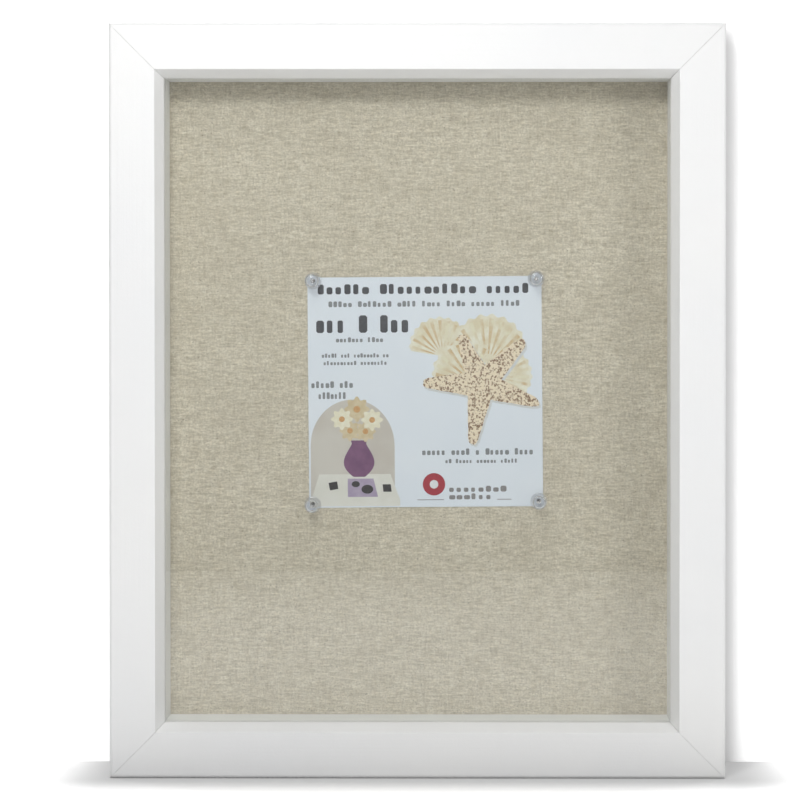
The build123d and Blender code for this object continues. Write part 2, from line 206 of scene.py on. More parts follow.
def rail_paint_group():
    """Sprayed paint over wood, with a dark hairline where a point is as far along as it is across."""
    inputs = [
        ("Point", "v", (0, 0, 0)),
        ("Grain Size", "v", (0.16, 0.004, 0.0016)),
        ("Middle", "v", (0, 0, 0)),
        ("Mitre Offset", "f", 0.0),
        ("Hairline", "f", 0.00016),
    ]
    outputs = [("Color", "c"), ("Roughness", "f"), ("Height", "f")]
    group, start, end = new_group("rail_paint", inputs, outputs)
    point = start.outputs["Point"]
    grain = patches(group, start.outputs["Grain Size"], 0.25, 0.75, detail=4, point=point)
    peel = patches(group, 0.0011, 0.25, 0.75, detail=2, point=point)
    cloud = patches(group, 0.12, detail=2, point=point)
    specks = patches(group, 0.0009, 0.74, 0.8, 0.10, detail=1, point=point)
    tint = mixed(group, cloud, (0.83, 0.835, 0.84, 1), (0.86, 0.86, 0.853, 1))
    tint = mixed(group, specks, tint, (0.42, 0.41, 0.39, 1))

    from_middle = node(group, "VectorMath", {0: point, 1: start.outputs["Middle"]}, operation="SUBTRACT")
    split = node(group, "SeparateXYZ", {0: from_middle.outputs[0]})
    across = maths(group, "ABSOLUTE", split.outputs[0])
    upward = maths(group, "ABSOLUTE", split.outputs[2])
    uneven = maths(group, "SUBTRACT", maths(group, "SUBTRACT", across, upward), start.outputs["Mitre Offset"])
    off_mitre = maths(group, "ABSOLUTE", uneven)
    line = ramp(group, off_mitre, 0.0, start.outputs["Hairline"], 1.0, 0.0)
    line = maths(group, "MULTIPLY", line, patches(group, 0.006, 0.25, 0.6, 0.24, point=point))
    group.links.new(mixed(group, line, tint, (0.17, 0.165, 0.15, 1)), end.inputs["Color"])
    group.links.new(ramp(group, peel, 0.0, 1.0, 0.36, 0.46), end.inputs["Roughness"])
    relief = maths(group, "MULTIPLY_ADD", grain, 0.6, maths(group, "MULTIPLY", peel, 0.4))
    group.links.new(maths(group, "SUBTRACT", relief, line), end.inputs["Height"])
    return group


rail_paint_tree = rail_paint_group()
mitre_offset = rail_high.x - (rail_high.z - middle_z)


def painted_wood(name, grain_size):
    """White satin paint over a grain of this size."""
    material, tree, shader, _ = new_material(name)
    paint = node(tree, "Group", {}, node_tree=rail_paint_tree)
    tree.links.new(object_point(tree), paint.inputs["Point"])
    paint.inputs["Grain Size"].default_value = grain_size
    paint.inputs["Middle"].default_value = (0, 0, middle_z)
    paint.inputs["Mitre Offset"].default_value = mitre_offset
    tree.links.new(paint.outputs["Color"], shader.inputs["Base Color"])
    tree.links.new(paint.outputs["Roughness"], shader.inputs["Roughness"])
    tree.links.new(bumped(tree, paint.outputs["Height"], 0.00006), shader.inputs["Normal"])
    shader.inputs["IOR"].default_value = 1.48
    return material


paint_across = painted_wood("white_paint_across", (0.16, 0.004, 0.0016))
paint_upright = painted_wood("white_paint_upright", (0.0016, 0.004, 0.16))
for part in ("door_rail", "box_rail", "glazing_strip"):
    dress(paint_across, f"{part}_top", f"{part}_bottom")
    dress(paint_upright, f"{part}_left", f"{part}_right")


# ---- Nails, hinges, screws and magnets ----------------------------------------------------------
# Small bought hardware: zinc-plated corner nails, two brass butt hinges with brass-plated screws,
# and nickel-plated disc magnets, flush with the seam between the door and the box.
def worked_metal_group():
    """Metal with drawn strokes, dull patches and a roughness that follows both."""
    inputs = [
        ("Point", "v", (0, 0, 0)),
        ("Fresh", "c", (0.7, 0.7, 0.7, 1)),
        ("Dull", "c", (0.4, 0.4, 0.4, 1)),
        ("Stroke Size", "v", (0.004, 0.0002, 0.0002)),
        ("Smooth", "f", 0.2),
        ("Rough", "f", 0.4),
    ]
    outputs = [("Color", "c"), ("Roughness", "f"), ("Height", "f")]
    group, start, end = new_group("worked_metal", inputs, outputs)
    point = start.outputs["Point"]
    strokes = patches(group, start.outputs["Stroke Size"], 0.3, 0.7, point=point)
    dulled = patches(group, 0.0022, 0.42, 0.68, 0.7, detail=4, point=point)
    colour = mixed(group, dulled, start.outputs["Fresh"], start.outputs["Dull"])
    both = maths(group, "MULTIPLY_ADD", dulled, 0.7, maths(group, "MULTIPLY", strokes, 0.5))
    roughness = ramp(group, both, 0.0, 1.0, start.outputs["Smooth"], start.outputs["Rough"])
    group.links.new(colour, end.inputs["Color"])
    group.links.new(roughness, end.inputs["Roughness"])
    group.links.new(strokes, end.inputs["Height"])
    return group


worked_metal_tree = worked_metal_group()


def metal(name, fresh, dull, stroke, smooth, rough):
    """A metal finish with its strokes along the longest side of stroke."""
    material, tree, shader, _ = new_material(name)
    finish = node(tree, "Group", {}, node_tree=worked_metal_tree)
    tree.links.new(object_point(tree), finish.inputs["Point"])
    colours = {"Fresh": (*fresh, 1), "Dull": (*dull, 1)}
    values = {**colours, "Stroke Size": stroke, "Smooth": smooth, "Rough": rough}
    for label, value in values.items():
        finish.inputs[label].default_value = value
    tree.links.new(finish.outputs["Color"], shader.inputs["Base Color"])
    tree.links.new(finish.outputs["Roughness"], shader.inputs["Roughness"])
    tree.links.new(bumped(tree, finish.outputs["Height"], 0.00001), shader.inputs["Normal"])
    shader.inputs["Metallic"].default_value = 1.0
    return material


upright_stroke = (0.0002, 0.0002, 0.004)
zinc = metal("zinc_plate", (0.60, 0.60, 0.61), (0.40, 0.40, 0.41), (0.0003, 0.003, 0.0003), 0.28, 0.5)
brass = metal("hinge_brass", (0.80, 0.60, 0.30), (0.50, 0.34, 0.15), upright_stroke, 0.2, 0.42)
brass_plate = metal("screw_brass", (0.78, 0.62, 0.36), (0.48, 0.36, 0.20), upright_stroke, 0.18, 0.38)
nickel = metal("magnet_nickel", (0.74, 0.73, 0.70), (0.55, 0.54, 0.52), (0.0004, 0.0004, 0.0004), 0.1, 0.25)
dress(zinc, "door_corner_nails", "box_corner_nails")
dress(brass, *(f"{side}_hinge_leaf_{place}" for side in ("door", "box") for place in ("upper", "lower")))
dress(brass, "hinge_pin_upper", "hinge_pin_lower")
dress(brass_plate, "door_hinge_screws", "box_hinge_screws")
dress(nickel, "door_magnets", "box_magnets")


# ---- Window glass -------------------------------------------------------------------------------
# One pane of 2 mm float glass behind the lip of the door. It throws no shadow on the linen, as a
# clean pane doesn't, and its face carries a very thin film of dust.
def clear_material(name, colour, index, through_colour, smooth, rough, clarity=1.0, painted_rim_highlight=0.0):
    """A clear solid with faint scuffs, and a painted highlight if asked: white mixed in where its surface turns
    away.
    """
    material, tree, shader, output = new_material(name)
    shader.inputs["Base Color"].default_value = (*colour, 1)
    shader.inputs["IOR"].default_value = index
    shader.inputs["Transmission Weight"].default_value = clarity
    scuffs = ramp(tree, patches(tree, 0.004, 0.6, 0.8), 0.0, 1.0, smooth, rough)
    tree.links.new(scuffs, shader.inputs["Roughness"])
    through = node(tree, "BsdfTransparent", {"Color": (*through_colour, 1)})
    rays = node(tree, "LightPath")
    either = maths(tree, "MAXIMUM", rays.outputs["Is Shadow Ray"], rays.outputs["Is Diffuse Ray"])
    seen = shader
    # Painted highlight: white diffuse mixed in at grazing angles stands in for the lamps' glints on the rim.
    if painted_rim_highlight:
        turned = node(tree, "LayerWeight", {"Blend": 0.5}).outputs["Facing"]
        rim_highlight_white = node(tree, "BsdfDiffuse", {"Color": (1, 1, 1, 1)})
        share = ramp(tree, turned, 0.35, 0.85, 0.0, painted_rim_highlight)
        seen = node(tree, "MixShader", {0: share, 1: shader.outputs[0], 2: rim_highlight_white.outputs[0]})
    blend = node(tree, "MixShader", {0: either, 1: seen.outputs[0], 2: through.outputs[0]})
    tree.links.new(blend.outputs[0], output.inputs[0])
    return material


window_glass = clear_material("window_glass", (0.985, 0.995, 0.99), 1.5, (0.94, 0.95, 0.945), 0.0, 0.01)
dress(window_glass, "glass_pane")


# ---- Cork core and linen ------------------------------------------------------------------------
# A pressed cork sheet, under one piece of unbleached plain-weave linen that is pulled tight over it,
# turned round its edges and glued to its back. The yarn is uneven, with slubs and dark husks.
def mesh_piece(name, points, faces, material=None, smooth=True):
    """A mesh object at the origin from an array of points and lists of point numbers."""
    mesh = bpy.data.meshes.new(name)
    mesh.from_pydata(np.asarray(points, float).tolist(), [], [tuple(f) for f in faces])
    mesh.update()
    mesh.shade_smooth() if smooth else mesh.shade_flat()
    piece = bpy.data.objects.new(name, mesh)
    bpy.context.scene.collection.objects.link(piece)
    if material is not None:
        mesh.materials.append(material)
    return piece


def grid_faces(rows, columns, start=0, closed=False):
    """Quads of a grid of points numbered row by row; closed joins the last column to the first."""
    row = np.arange(rows - 1)[:, None]
    column = np.arange(columns if closed else columns - 1)[None, :]
    after = (column + 1) % columns
    corners = [row * columns + column, row * columns + after]
    corners += [(row + 1) * columns + after, (row + 1) * columns + column]
    return (np.stack([np.broadcast_to(c, corners[0].shape) for c in corners], -1) + start).reshape(-1, 4)


def pressed_cork():
    """Cork granules of a few millimetres, each its own brown, darker along the borders between them."""
    material, tree, shader, _ = new_material("pressed_cork")
    scaled = node(
        tree,
        "VectorMath",
        {0: object_point(tree), 1: (0.0028, 0.0022, 0.0028)},
        operation="DIVIDE",
    ).outputs[0]
    granule = node(tree, "TexVoronoi", {"Vector": scaled, "Scale": 1.0})
    border = node(tree, "TexVoronoi", {"Vector": scaled, "Scale": 1.0}, feature="DISTANCE_TO_EDGE")
    own = node(tree, "SeparateXYZ", {0: granule.outputs["Color"]}).outputs[0]
    colour = mixed(tree, own, (0.36, 0.19, 0.085, 1), (0.62, 0.40, 0.21, 1))
    colour = mixed(tree, patches(tree, 0.0005, 0.6, 0.72, 0.6), colour, (0.13, 0.06, 0.025, 1))
    gap = ramp(tree, border.outputs["Distance"], 0.0, 0.07, 0.7, 0.0)
    tree.links.new(mixed(tree, gap, colour, (0.12, 0.06, 0.03, 1)), shader.inputs["Base Color"])
    shader.inputs["Roughness"].default_value = 0.9
    rounded = ramp(tree, border.outputs["Distance"], 0.0, 0.2)
    tree.links.new(bumped(tree, rounded, 0.0002), shader.inputs["Normal"])
    return material


dress(pressed_cork(), "cork_core")


def woven_linen():
    """Linen whose weft runs across and whose warp runs up, in the row frame's metres."""
    material, tree, shader, _ = new_material("natural_linen")
    pitch = 0.00056
    drift = patches(tree, 0.009, 0.0, 1.0, 0.0011, detail=2)
    split = node(tree, "SeparateXYZ", {0: object_point(tree)})
    warp_at = maths(tree, "MULTIPLY", maths(tree, "ADD", split.outputs[0], drift), math.pi / pitch)
    weft_at = maths(tree, "MULTIPLY", maths(tree, "ADD", split.outputs[2], drift), math.pi / pitch)
    warp_wave = maths(tree, "SINE", warp_at)
    weft_wave = maths(tree, "SINE", weft_at)
    over = maths(tree, "MULTIPLY_ADD", maths(tree, "MULTIPLY", warp_wave, weft_wave), 0.5, 0.5)
    warp_high = maths(tree, "MULTIPLY", maths(tree, "ABSOLUTE", warp_wave), over)
    under = maths(tree, "SUBTRACT", 1.0, over)
    weft_high = maths(tree, "MULTIPLY", maths(tree, "ABSOLUTE", weft_wave), under)
    weave = maths(tree, "MAXIMUM", warp_high, weft_high)

    weft_yarn = patches(tree, (0.0055, 0.01, 0.0010), 0.32, 0.68)
    warp_yarn = patches(tree, (0.0010, 0.01, 0.0055), 0.32, 0.68, 0.5)
    grit = patches(tree, (0.0012, 0.0015, 0.0010), 0.36, 0.64, 0.5, detail=2)
    husks = patches(tree, (0.0010, 0.003, 0.0009), 0.64, 0.75, 0.75, detail=2)
    slubs = patches(tree, (0.0035, 0.004, 0.0011), 0.58, 0.74, 0.5, detail=2)
    cloud = patches(tree, (0.05, 0.06, 0.03), 0.35, 0.65, 0.16)

    straw, shade, light = (0.88, 0.80, 0.65, 1), (0.50, 0.44, 0.33, 1), (0.96, 0.91, 0.79, 1)
    colour = mixed(tree, weft_yarn, shade, straw)
    colour = mixed(tree, warp_yarn, colour, light)
    colour = mixed(tree, grit, colour, (0.44, 0.385, 0.29, 1))
    colour = mixed(tree, slubs, colour, light)
    colour = mixed(tree, husks, colour, (0.19, 0.15, 0.10, 1))
    colour = mixed(tree, cloud, colour, (0.50, 0.44, 0.335, 1))
    dark_gap = ramp(tree, weave, 0.0, 0.35, 0.25, 0.0)
    colour = mixed(tree, dark_gap, colour, (0.24, 0.21, 0.155, 1))
    tree.links.new(colour, shader.inputs["Base Color"])
    shader.inputs["Roughness"].default_value = 0.92
    shader.inputs["Sheen Weight"].default_value = 0.12
    shader.inputs["Sheen Roughness"].default_value = 0.5
    shader.inputs["Specular IOR Level"].default_value = 0.25
    height = maths(tree, "MULTIPLY_ADD", slubs, 0.5, maths(tree, "MULTIPLY_ADD", weft_yarn, 0.6, weave))
    tree.links.new(bumped(tree, height, 0.00022), shader.inputs["Normal"])
    return material


def wrapped_linen():
    """The cover: a flat front with a bent margin that follows the core's side and back.

    The front is a grid. Each further ring of points is the front's border, scaled to the size
    and moved to the depth that the cloth has reached on its way round the edge.
    """
    low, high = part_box("linen_cover")
    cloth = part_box("cork_core")[0].y - low.y
    depth = high.y - low.y
    hem, hem_start = 14 * MM, 3 * MM
    unevenness, border_share = 0.1 * MM, 1 / 12
    half_x = (high.x - low.x) / 2
    half_z = (high.z - low.z) / 2
    bend = cloth
    columns, rows = 99, 125
    x = np.linspace(-1, 1, columns) * (half_x - bend)
    z = np.linspace(-1, 1, rows) * (half_z - bend)
    gx, gz = np.meshgrid(x, z)
    pull = unevenness * np.sin(gx * 61 + 2 * np.sin(gz * 23)) * np.sin(gz * 47 + 1.3)
    fade_x = np.clip((1 - np.abs(gx) / half_x) / border_share, 0, 1)
    fade_z = np.clip((1 - np.abs(gz) / half_z) / border_share, 0, 1)
    front = np.stack([gx, low.y + unevenness + pull * fade_x * fade_z, gz], -1).reshape(-1, 3)

    number = np.arange(rows * columns).reshape(rows, columns)
    border = np.concatenate([number[0, :-1], number[:-1, -1], number[-1, :0:-1], number[:0:-1, 0]])
    turn = np.linspace(0, math.pi / 2, 5)[1:]
    inward = -np.linspace(hem_start, hem, 5)
    out = np.concatenate([bend * np.sin(turn), [bend], bend * np.cos(turn), inward])
    front_bend = bend * (1 - np.cos(turn))
    back_bend = depth - bend + bend * np.sin(turn)
    back = np.concatenate([front_bend, [depth - bend], back_bend, [depth] * len(inward)])
    edge = front[border]
    size = 1 + out[:, None, None] * np.array([1 / (half_x - bend), 0, 1 / (half_z - bend)])
    rings = edge[None] * size
    rings[:, :, 1] = low.y + back[:, None]
    points = np.concatenate([front, rings.reshape(-1, 3)])
    points[:, 2] += middle_z

    count = len(border)
    loop = np.arange(count)
    after = (loop + 1) % count
    starts = [border] + [rows * columns + k * count + loop for k in range(len(out))]
    faces = [grid_faces(rows, columns)]
    for inner, outer in zip(starts[:-1], starts[1:]):
        faces.append(np.stack([inner[loop], outer[loop], outer[after], inner[after]], -1))
    piece = mesh_piece("linen_cloth", points, np.concatenate(faces), woven_linen())
    thick = piece.modifiers.new("thickness", "SOLIDIFY")
    thick.thickness = cloth * 0.9
    thick.offset = -1
    flat = (2 * (half_x + depth + hem), 2 * (half_z + depth + hem))
    return piece, flat


linen, linen_flat = wrapped_linen()
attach(linen, "box")
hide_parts("linen_cover")


# ---- Back panel, points, hangers and bumpers ----------------------------------------------------
# A hardboard panel with its rough pressed side out, held by steel points. On the rails are two
# yellow-passivated sawtooth hangers with their nails, and four clear soft bumpers.
def hardboard():
    """Brown pressed fibre with a screen pattern, loose pale fibres and dark flecks."""
    material, tree, shader, _ = new_material("hardboard")
    base = mixed(tree, patches(tree, 0.03), (0.27, 0.155, 0.08, 1), (0.36, 0.22, 0.12, 1))
    base = mixed(tree, patches(tree, (0.004, 0.002, 0.0005), 0.56, 0.72, 0.6), base, (0.52, 0.37, 0.22, 1))
    base = mixed(tree, patches(tree, (0.0006, 0.002, 0.0035), 0.6, 0.74, 0.6), base, (0.13, 0.07, 0.035, 1))
    tree.links.new(base, shader.inputs["Base Color"])
    tree.links.new(ramp(tree, patches(tree, 0.002), 0.0, 1.0, 0.6, 0.85), shader.inputs["Roughness"])
    split = node(tree, "SeparateXYZ", {0: object_point(tree)})
    mesh_pitch = 0.0016
    waves = [
        maths(tree, "SINE", maths(tree, "MULTIPLY", split.outputs[axis], 2 * math.pi / mesh_pitch))
        for axis in (0, 2)
    ]
    screen = maths(tree, "MULTIPLY_ADD", maths(tree, "MULTIPLY", waves[0], waves[1]), 0.5, 0.5)
    tree.links.new(bumped(tree, screen, 0.00012), shader.inputs["Normal"])
    return material


def soft_vinyl():
    """Clear rubbery vinyl, cloudy and a little dusty."""
    material, tree, shader, _ = new_material("bumper_vinyl")
    dusty = mixed(tree, patches(tree, 0.001, 0.5, 0.75, 0.5), (0.82, 0.82, 0.80, 1), (0.62, 0.61, 0.58, 1))
    tree.links.new(dusty, shader.inputs["Base Color"])
    tree.links.new(ramp(tree, patches(tree, 0.0008), 0.0, 1.0, 0.3, 0.5), shader.inputs["Roughness"])
    shader.inputs["Transmission Weight"].default_value = 0.45
    shader.inputs["IOR"].default_value = 1.45
    return material


hanger_plate = metal("yellow_zinc", (0.72, 0.60, 0.34), (0.52, 0.44, 0.30), (0.004, 0.0003, 0.0003), 0.22, 0.45)
dress(hardboard(), "back_panel")
dress(zinc, "panel_points", "hanger_nails")
dress(hanger_plate, "hanger_upright", "hanger_sideways")
dress(soft_vinyl(), "wall_bumpers")


# ---- Paper insert -------------------------------------------------------------------------------
# A coated card, printed with a picture of a starfish on shells, a vase of flowers on a work table,
# and grey blocks in place of words. Each ink is a thin closed film on the card's face.
card_low, card_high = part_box("insert_card")
card_turn = math.radians(0.45)
ink_film = 0.015 * MM


def coated_paper():
    """Bluish white paper with a faint cloud in its coating."""
    material, tree, shader, _ = new_material("coated_paper")
    paper = mixed(tree, patches(tree, 0.03), (0.68, 0.725, 0.785, 1), (0.71, 0.75, 0.80, 1))
    paper = mixed(tree, patches(tree, (0.0016, 0.001, 0.0004), 0.62, 0.75, 0.25), paper, (0.6, 0.62, 0.63, 1))
    tree.links.new(paper, shader.inputs["Base Color"])
    tree.links.new(ramp(tree, patches(tree, 0.002), 0.0, 1.0, 0.42, 0.55), shader.inputs["Roughness"])
    tree.links.new(bumped(tree, patches(tree, 0.0004), 0.00001), shader.inputs["Normal"])
    return material


def ink(name, colour, second, size=0.0012, low=0.35, high=0.65):
    """A printed colour that is broken up by a second one."""
    material, tree, shader, _ = new_material(name)
    colours = mixed(tree, patches(tree, size, low, high), (*colour, 1), (*second, 1))
    tree.links.new(colours, shader.inputs["Base Color"])
    tree.links.new(ramp(tree, patches(tree, 0.002), 0.0, 1.0, 0.4, 0.52), shader.inputs["Roughness"])
    return material


def printed(name, outlines, layer, material, rise=0.0):
    """A film of ink: each outline, in millimetres from the card's middle, becomes a thin closed slab.

    An outline runs anticlockwise as seen from the front. Its slab has that face in front, the same
    face turned over on the card, and one quad along each edge. Outlines that overlap each stand
    a rise of so many films in front of the last, and start as far in front of the card.
    """
    points, faces, start = [], [], 0
    along, aside = math.cos(card_turn), math.sin(card_turn)
    turn = np.array([[along, aside], [-aside, along]])
    middle = np.array([(card_low.x + card_high.x) / 2, (card_low.z + card_high.z) / 2])
    for step, outline in enumerate(outlines):
        flat = np.asarray(outline, float) * MM @ turn + middle
        count = len(flat)
        for y in (card_low.y - (layer + step * rise) * ink_film, card_low.y + step * rise * ink_film):
            points.append(np.stack([flat[:, 0], np.full(count, y), flat[:, 1]], -1))
        loop = np.arange(count)
        after = (loop + 1) % count
        faces.append(tuple(start + loop))
        faces.append(tuple(start + count + loop[::-1]))
        faces += [tuple(side) for side in np.stack([loop, loop + count, after + count, after], -1) + start]
        start += 2 * count
    piece = mesh_piece(name, np.concatenate(points), faces, material, smooth=False)
    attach(piece, "box")
    return piece


def oval(u, v, half_u, half_v, lobes=0, depth=0.0, count=48):
    """An ellipse whose radius rises and falls by depth, once for each lobe."""
    t = np.linspace(0, 2 * math.pi, count, endpoint=False)
    swell = 1 + depth * np.cos(lobes * t)
    return np.stack([u + half_u * swell * np.cos(t), v + half_v * swell * np.sin(t)], -1)


def block(u, v, wide, tall):
    """An upright rectangle with clipped corners, from its lower left corner."""
    clip = 0.22 * min(wide, tall)
    return np.array([
        (u + clip, v), (u + wide - clip, v), (u + wide, v + clip), (u + wide, v + tall - clip),
        (u + wide - clip, v + tall), (u + clip, v + tall), (u, v + tall - clip), (u, v + clip),
    ])


def word_blocks(left, right, base, tall, words, draw):
    """A line of blocks in place of words: one for each letter, some of them taller, with gaps."""
    pitch = (right - left) / (sum(words) + len(words) - 1)
    places = []
    at = left
    for letters in words:
        places += [at + k * pitch for k in range(letters)]
        at += (letters + 1) * pitch
    heights = tall * np.where(draw.random(len(places)) < 0.3, 1.4, 1.0)
    widths = pitch * draw.uniform(0.5, 0.84, len(places))
    return [block(u, base, w, h) for u, w, h in zip(places, widths, heights)]


def starfish(u, v, arms, root, tip):
    """Five tapered arms: along each direction, the outline is the farthest edge of any arm.

    arms are (angle in degrees, length). An arm narrows evenly from root at the middle to tip at
    its end, where it is cut round, and small bumps run along the whole outline.
    """
    t = np.linspace(0, 2 * math.pi, 480, endpoint=False)
    reach = np.full(len(t), root * 1.0)
    for angle, length in arms:
        off = (t - math.radians(angle) + math.pi) % (2 * math.pi) - math.pi
        slope = np.abs(np.tan(np.clip(off, -1.5, 1.5)))
        along = root / (slope + (root - tip) / length)
        edge = np.where(np.abs(off) < 1.4, along / np.cos(np.clip(off, -1.4, 1.4)), 0)
        sideways = np.minimum(np.abs(off) * length / tip, 1)
        length_here = length - tip * (1 - np.sqrt(1 - sideways ** 2))
        reach = np.maximum(reach, np.minimum(edge, length_here))
    reach *= 1 + 0.02 * np.sin(31 * t) * np.cos(17 * t)
    return np.stack([u + reach * np.cos(t), v + reach * np.sin(t)], -1)


def scallop(u, v, radius, angle, spread=62, ribs=9):
    """A fan shell from its hinge, with a wavy rim, and its ribs as long thin wedges."""
    t = np.linspace(-1, 1, 60)
    bearing = np.radians(angle + spread * t)
    far = radius * (1 + 0.03 * np.cos(t * ribs * math.pi)) * (1 - 0.16 * t ** 2)
    rim = np.stack([u + far * np.cos(bearing), v + far * np.sin(bearing)], -1)
    fan = np.concatenate([[(u, v)], rim])
    wedges = []
    for k in range(ribs):
        middle = math.radians(angle + spread * (2 * (k + 0.5) / ribs - 1))
        half = math.radians(spread / ribs) * 0.42
        near, end = 0.22 * radius, 0.93 * radius * (1 - 0.16 * (2 * (k + 0.5) / ribs - 1) ** 2)
        corners = ((near, -half), (end, -half), (end, half), (near, half))
        wedges.append([(u + r * math.cos(middle + a), v + r * math.sin(middle + a)) for r, a in corners])
    return fan, wedges


def vase(u, foot, top, belly, neck):
    """A round vase seen from the side: its half-width swells to the belly and narrows to the neck."""
    t = np.linspace(0, 1, 24)
    half = neck + (belly - neck) * np.sin(math.pi * t ** 0.75) ** 1.3 + 1.3 * np.exp(-((t - 1) / 0.06) ** 2)
    height = foot + (top - foot) * t
    right = np.stack([u + half, height], -1)
    left = np.stack([u - half, height], -1)[::-1]
    return np.concatenate([right, left])


dress(coated_paper(), "insert_card")

draw = np.random.default_rng(11)
dark_lines = word_blocks(-60, 60, 55.2, 4.0, (6, 11, 5), draw)
dark_lines += word_blocks(-61, -7, 33.5, 7.0, (3, 1, 3), draw)
grey_lines = word_blocks(-54, 54, 48.0, 2.3, (5, 7, 4, 4, 4, 5, 4), draw)
grey_lines += word_blocks(-50, -23, 28.2, 2.0, (7, 4), draw)
grey_lines += word_blocks(-58, -20, 19.6, 1.7, (5, 3, 8, 2), draw)
grey_lines += word_blocks(-57, -21, 15.4, 1.7, (10, 8), draw)
grey_lines += word_blocks(-64, -40, 2.6, 2.7, (5, 3), draw)
grey_lines += word_blocks(-60, -44, -3.6, 2.7, (7,), draw)
grey_lines += word_blocks(-2, 61, -35.6, 2.6, (5, 4, 1, 5, 4), draw)
grey_lines += word_blocks(11, 52, -40.2, 1.7, (2, 5, 6, 5), draw)
name_lines = word_blocks(13, 46, -56.4, 2.4, (8,), draw)
name_lines += word_blocks(13, 38, -60.6, 2.4, (6,), draw)
name_lines += [block(-5, -60.9, 15, 0.4), block(40, -60.9, 8, 0.4)]
printed("insert_dark_blocks", dark_lines, 1, ink("dark_ink", (0.05, 0.052, 0.058), (0.07, 0.07, 0.08)))
printed("insert_grey_blocks", grey_lines, 1, ink("grey_ink", (0.19, 0.20, 0.21), (0.25, 0.26, 0.27)))
printed("insert_name_blocks", name_lines, 1, ink("name_ink", (0.20, 0.19, 0.19), (0.26, 0.25, 0.25)))
red_ink = ink("red_ink", (0.36, 0.035, 0.05), (0.30, 0.03, 0.045))
printed("insert_roundel", [oval(4.5, -52, 6.3, 6.3)], 1, red_ink)
pale_ink = ink("pale_ink", (0.70, 0.72, 0.73), (0.66, 0.68, 0.70))
printed("insert_roundel_dot", [oval(4.5, -52, 2.4, 2.4)], 2, pale_ink)

shell_ink = ink("shell_ink", (0.74, 0.72, 0.61), (0.66, 0.59, 0.42), (0.006, 0.004, 0.006))
rib_ink = ink("rib_ink", (0.57, 0.42, 0.24), (0.70, 0.66, 0.50), (0.009, 0.004, 0.009), 0.4, 0.6)
scallops = ((10, 20, 22, 108), (35, 15, 28, 84), (27, 5, 25, 126), (40, 8, 20, 14))
for number, (u, v, radius, angle) in enumerate(scallops):
    fan, wedges = scallop(u, v, radius, angle)
    printed(f"insert_shell_{number}", [fan], 1 + 2 * number, shell_ink)
    printed(f"insert_shell_ribs_{number}", wedges, 2 + 2 * number, rib_ink)
arms = ((178, 33), (112, 30), (45, 35), (-19, 34), (-99, 34))
shade_ink = ink("shade_ink", (0.56, 0.57, 0.57), (0.61, 0.63, 0.64), 0.004)
star_ink = ink("starfish_ink", (0.76, 0.66, 0.50), (0.24, 0.15, 0.095), (0.0011, 0.002, 0.0011), 0.50, 0.58)
printed("insert_starfish_shade", [starfish(32.3, 2.8, arms, 8.0, 2.6)], 9, shade_ink)
printed("insert_starfish", [starfish(31.5, 4, arms, 7.8, 2.4)], 10, star_ink)

t = np.linspace(0, math.pi, 30)
arch_top = np.stack([-41.1 + 23.6 * np.cos(t), -30 + 26 * np.sin(t)], -1)
arch = np.concatenate([[(-64.8, -64), (-17.5, -64)], arch_top])
printed("insert_arch", [arch], 1, ink("beige_ink", (0.50, 0.46, 0.41), (0.56, 0.53, 0.48), 0.02))
table_top = [(-64.6, -60.5), (-14.6, -60.5), (-20, -46), (-60, -46)]
table_edge = [(-64.6, -64), (-14.6, -64), (-14.6, -60.5), (-64.6, -60.5)]
table_ink = ink("table_ink", (0.64, 0.63, 0.57), (0.68, 0.67, 0.62), 0.01)
printed("insert_table", [table_top, table_edge], 2, table_ink, rise=1)
work_mat = [(-44, -58.8), (-27, -58.8), (-29.5, -48.5), (-44, -48.5)]
printed("insert_mat", [work_mat], 3, ink("mat_ink", (0.34, 0.28, 0.39), (0.40, 0.34, 0.44), 0.004))
swatches = [
    [(-54, -55), (-49.3, -54.2), (-50, -50), (-54.8, -50.8)],
    [(-24, -56), (-19.3, -56), (-19.8, -51.8), (-24.4, -51.8)],
]
buttons = [oval(-33, -54.5, 3.3, 2.5), oval(-39.5, -51.6, 2.3, 1.7)]
printed("insert_swatches", swatches + buttons, 4, ink("black_ink", (0.03, 0.028, 0.03), (0.05, 0.045, 0.045)))
vase_ink = ink("vase_ink", (0.15, 0.07, 0.14), (0.19, 0.09, 0.17), 0.006)
printed("insert_vase", [vase(-37.5, -47.5, -27, 8.6, 3.2)], 5, vase_ink)
blooms = [(-47, -15, 5.4), (-38.5, -9.5, 6.3), (-30, -15.5, 5.4), (-42.5, -21.5, 5.2), (-33.8, -22, 5.2)]
petals = [oval(u, v, r, r, lobes=8, depth=0.16) for u, v, r in blooms]
hearts = [oval(u, v, 0.3 * r, 0.3 * r) for u, v, r in blooms]
deep_petal_ink = ink("deep_petal_ink", (0.62, 0.53, 0.36), (0.54, 0.44, 0.28), 0.003)
printed("insert_deep_petals", petals[1:2] + petals[3:], 6, deep_petal_ink, rise=1)
petal_ink = ink("petal_ink", (0.76, 0.73, 0.60), (0.70, 0.66, 0.50), 0.003)
printed("insert_petals", petals[0:3:2], 9, petal_ink, rise=1)
printed("insert_flower_hearts", hearts, 11, ink("heart_ink", (0.60, 0.36, 0.17), (0.48, 0.26, 0.10), 0.001))


# ---- Push pins ----------------------------------------------------------------------------------
# Each head is moulded in clear acrylic round the blunt end of a steel needle: a wide flange with a
# rolled rim, a hollow waist for the fingers, and a low domed cap. Its edges carry a painted highlight.
head_long, bore_deep = 13.0 * MM, 8.02 * MM


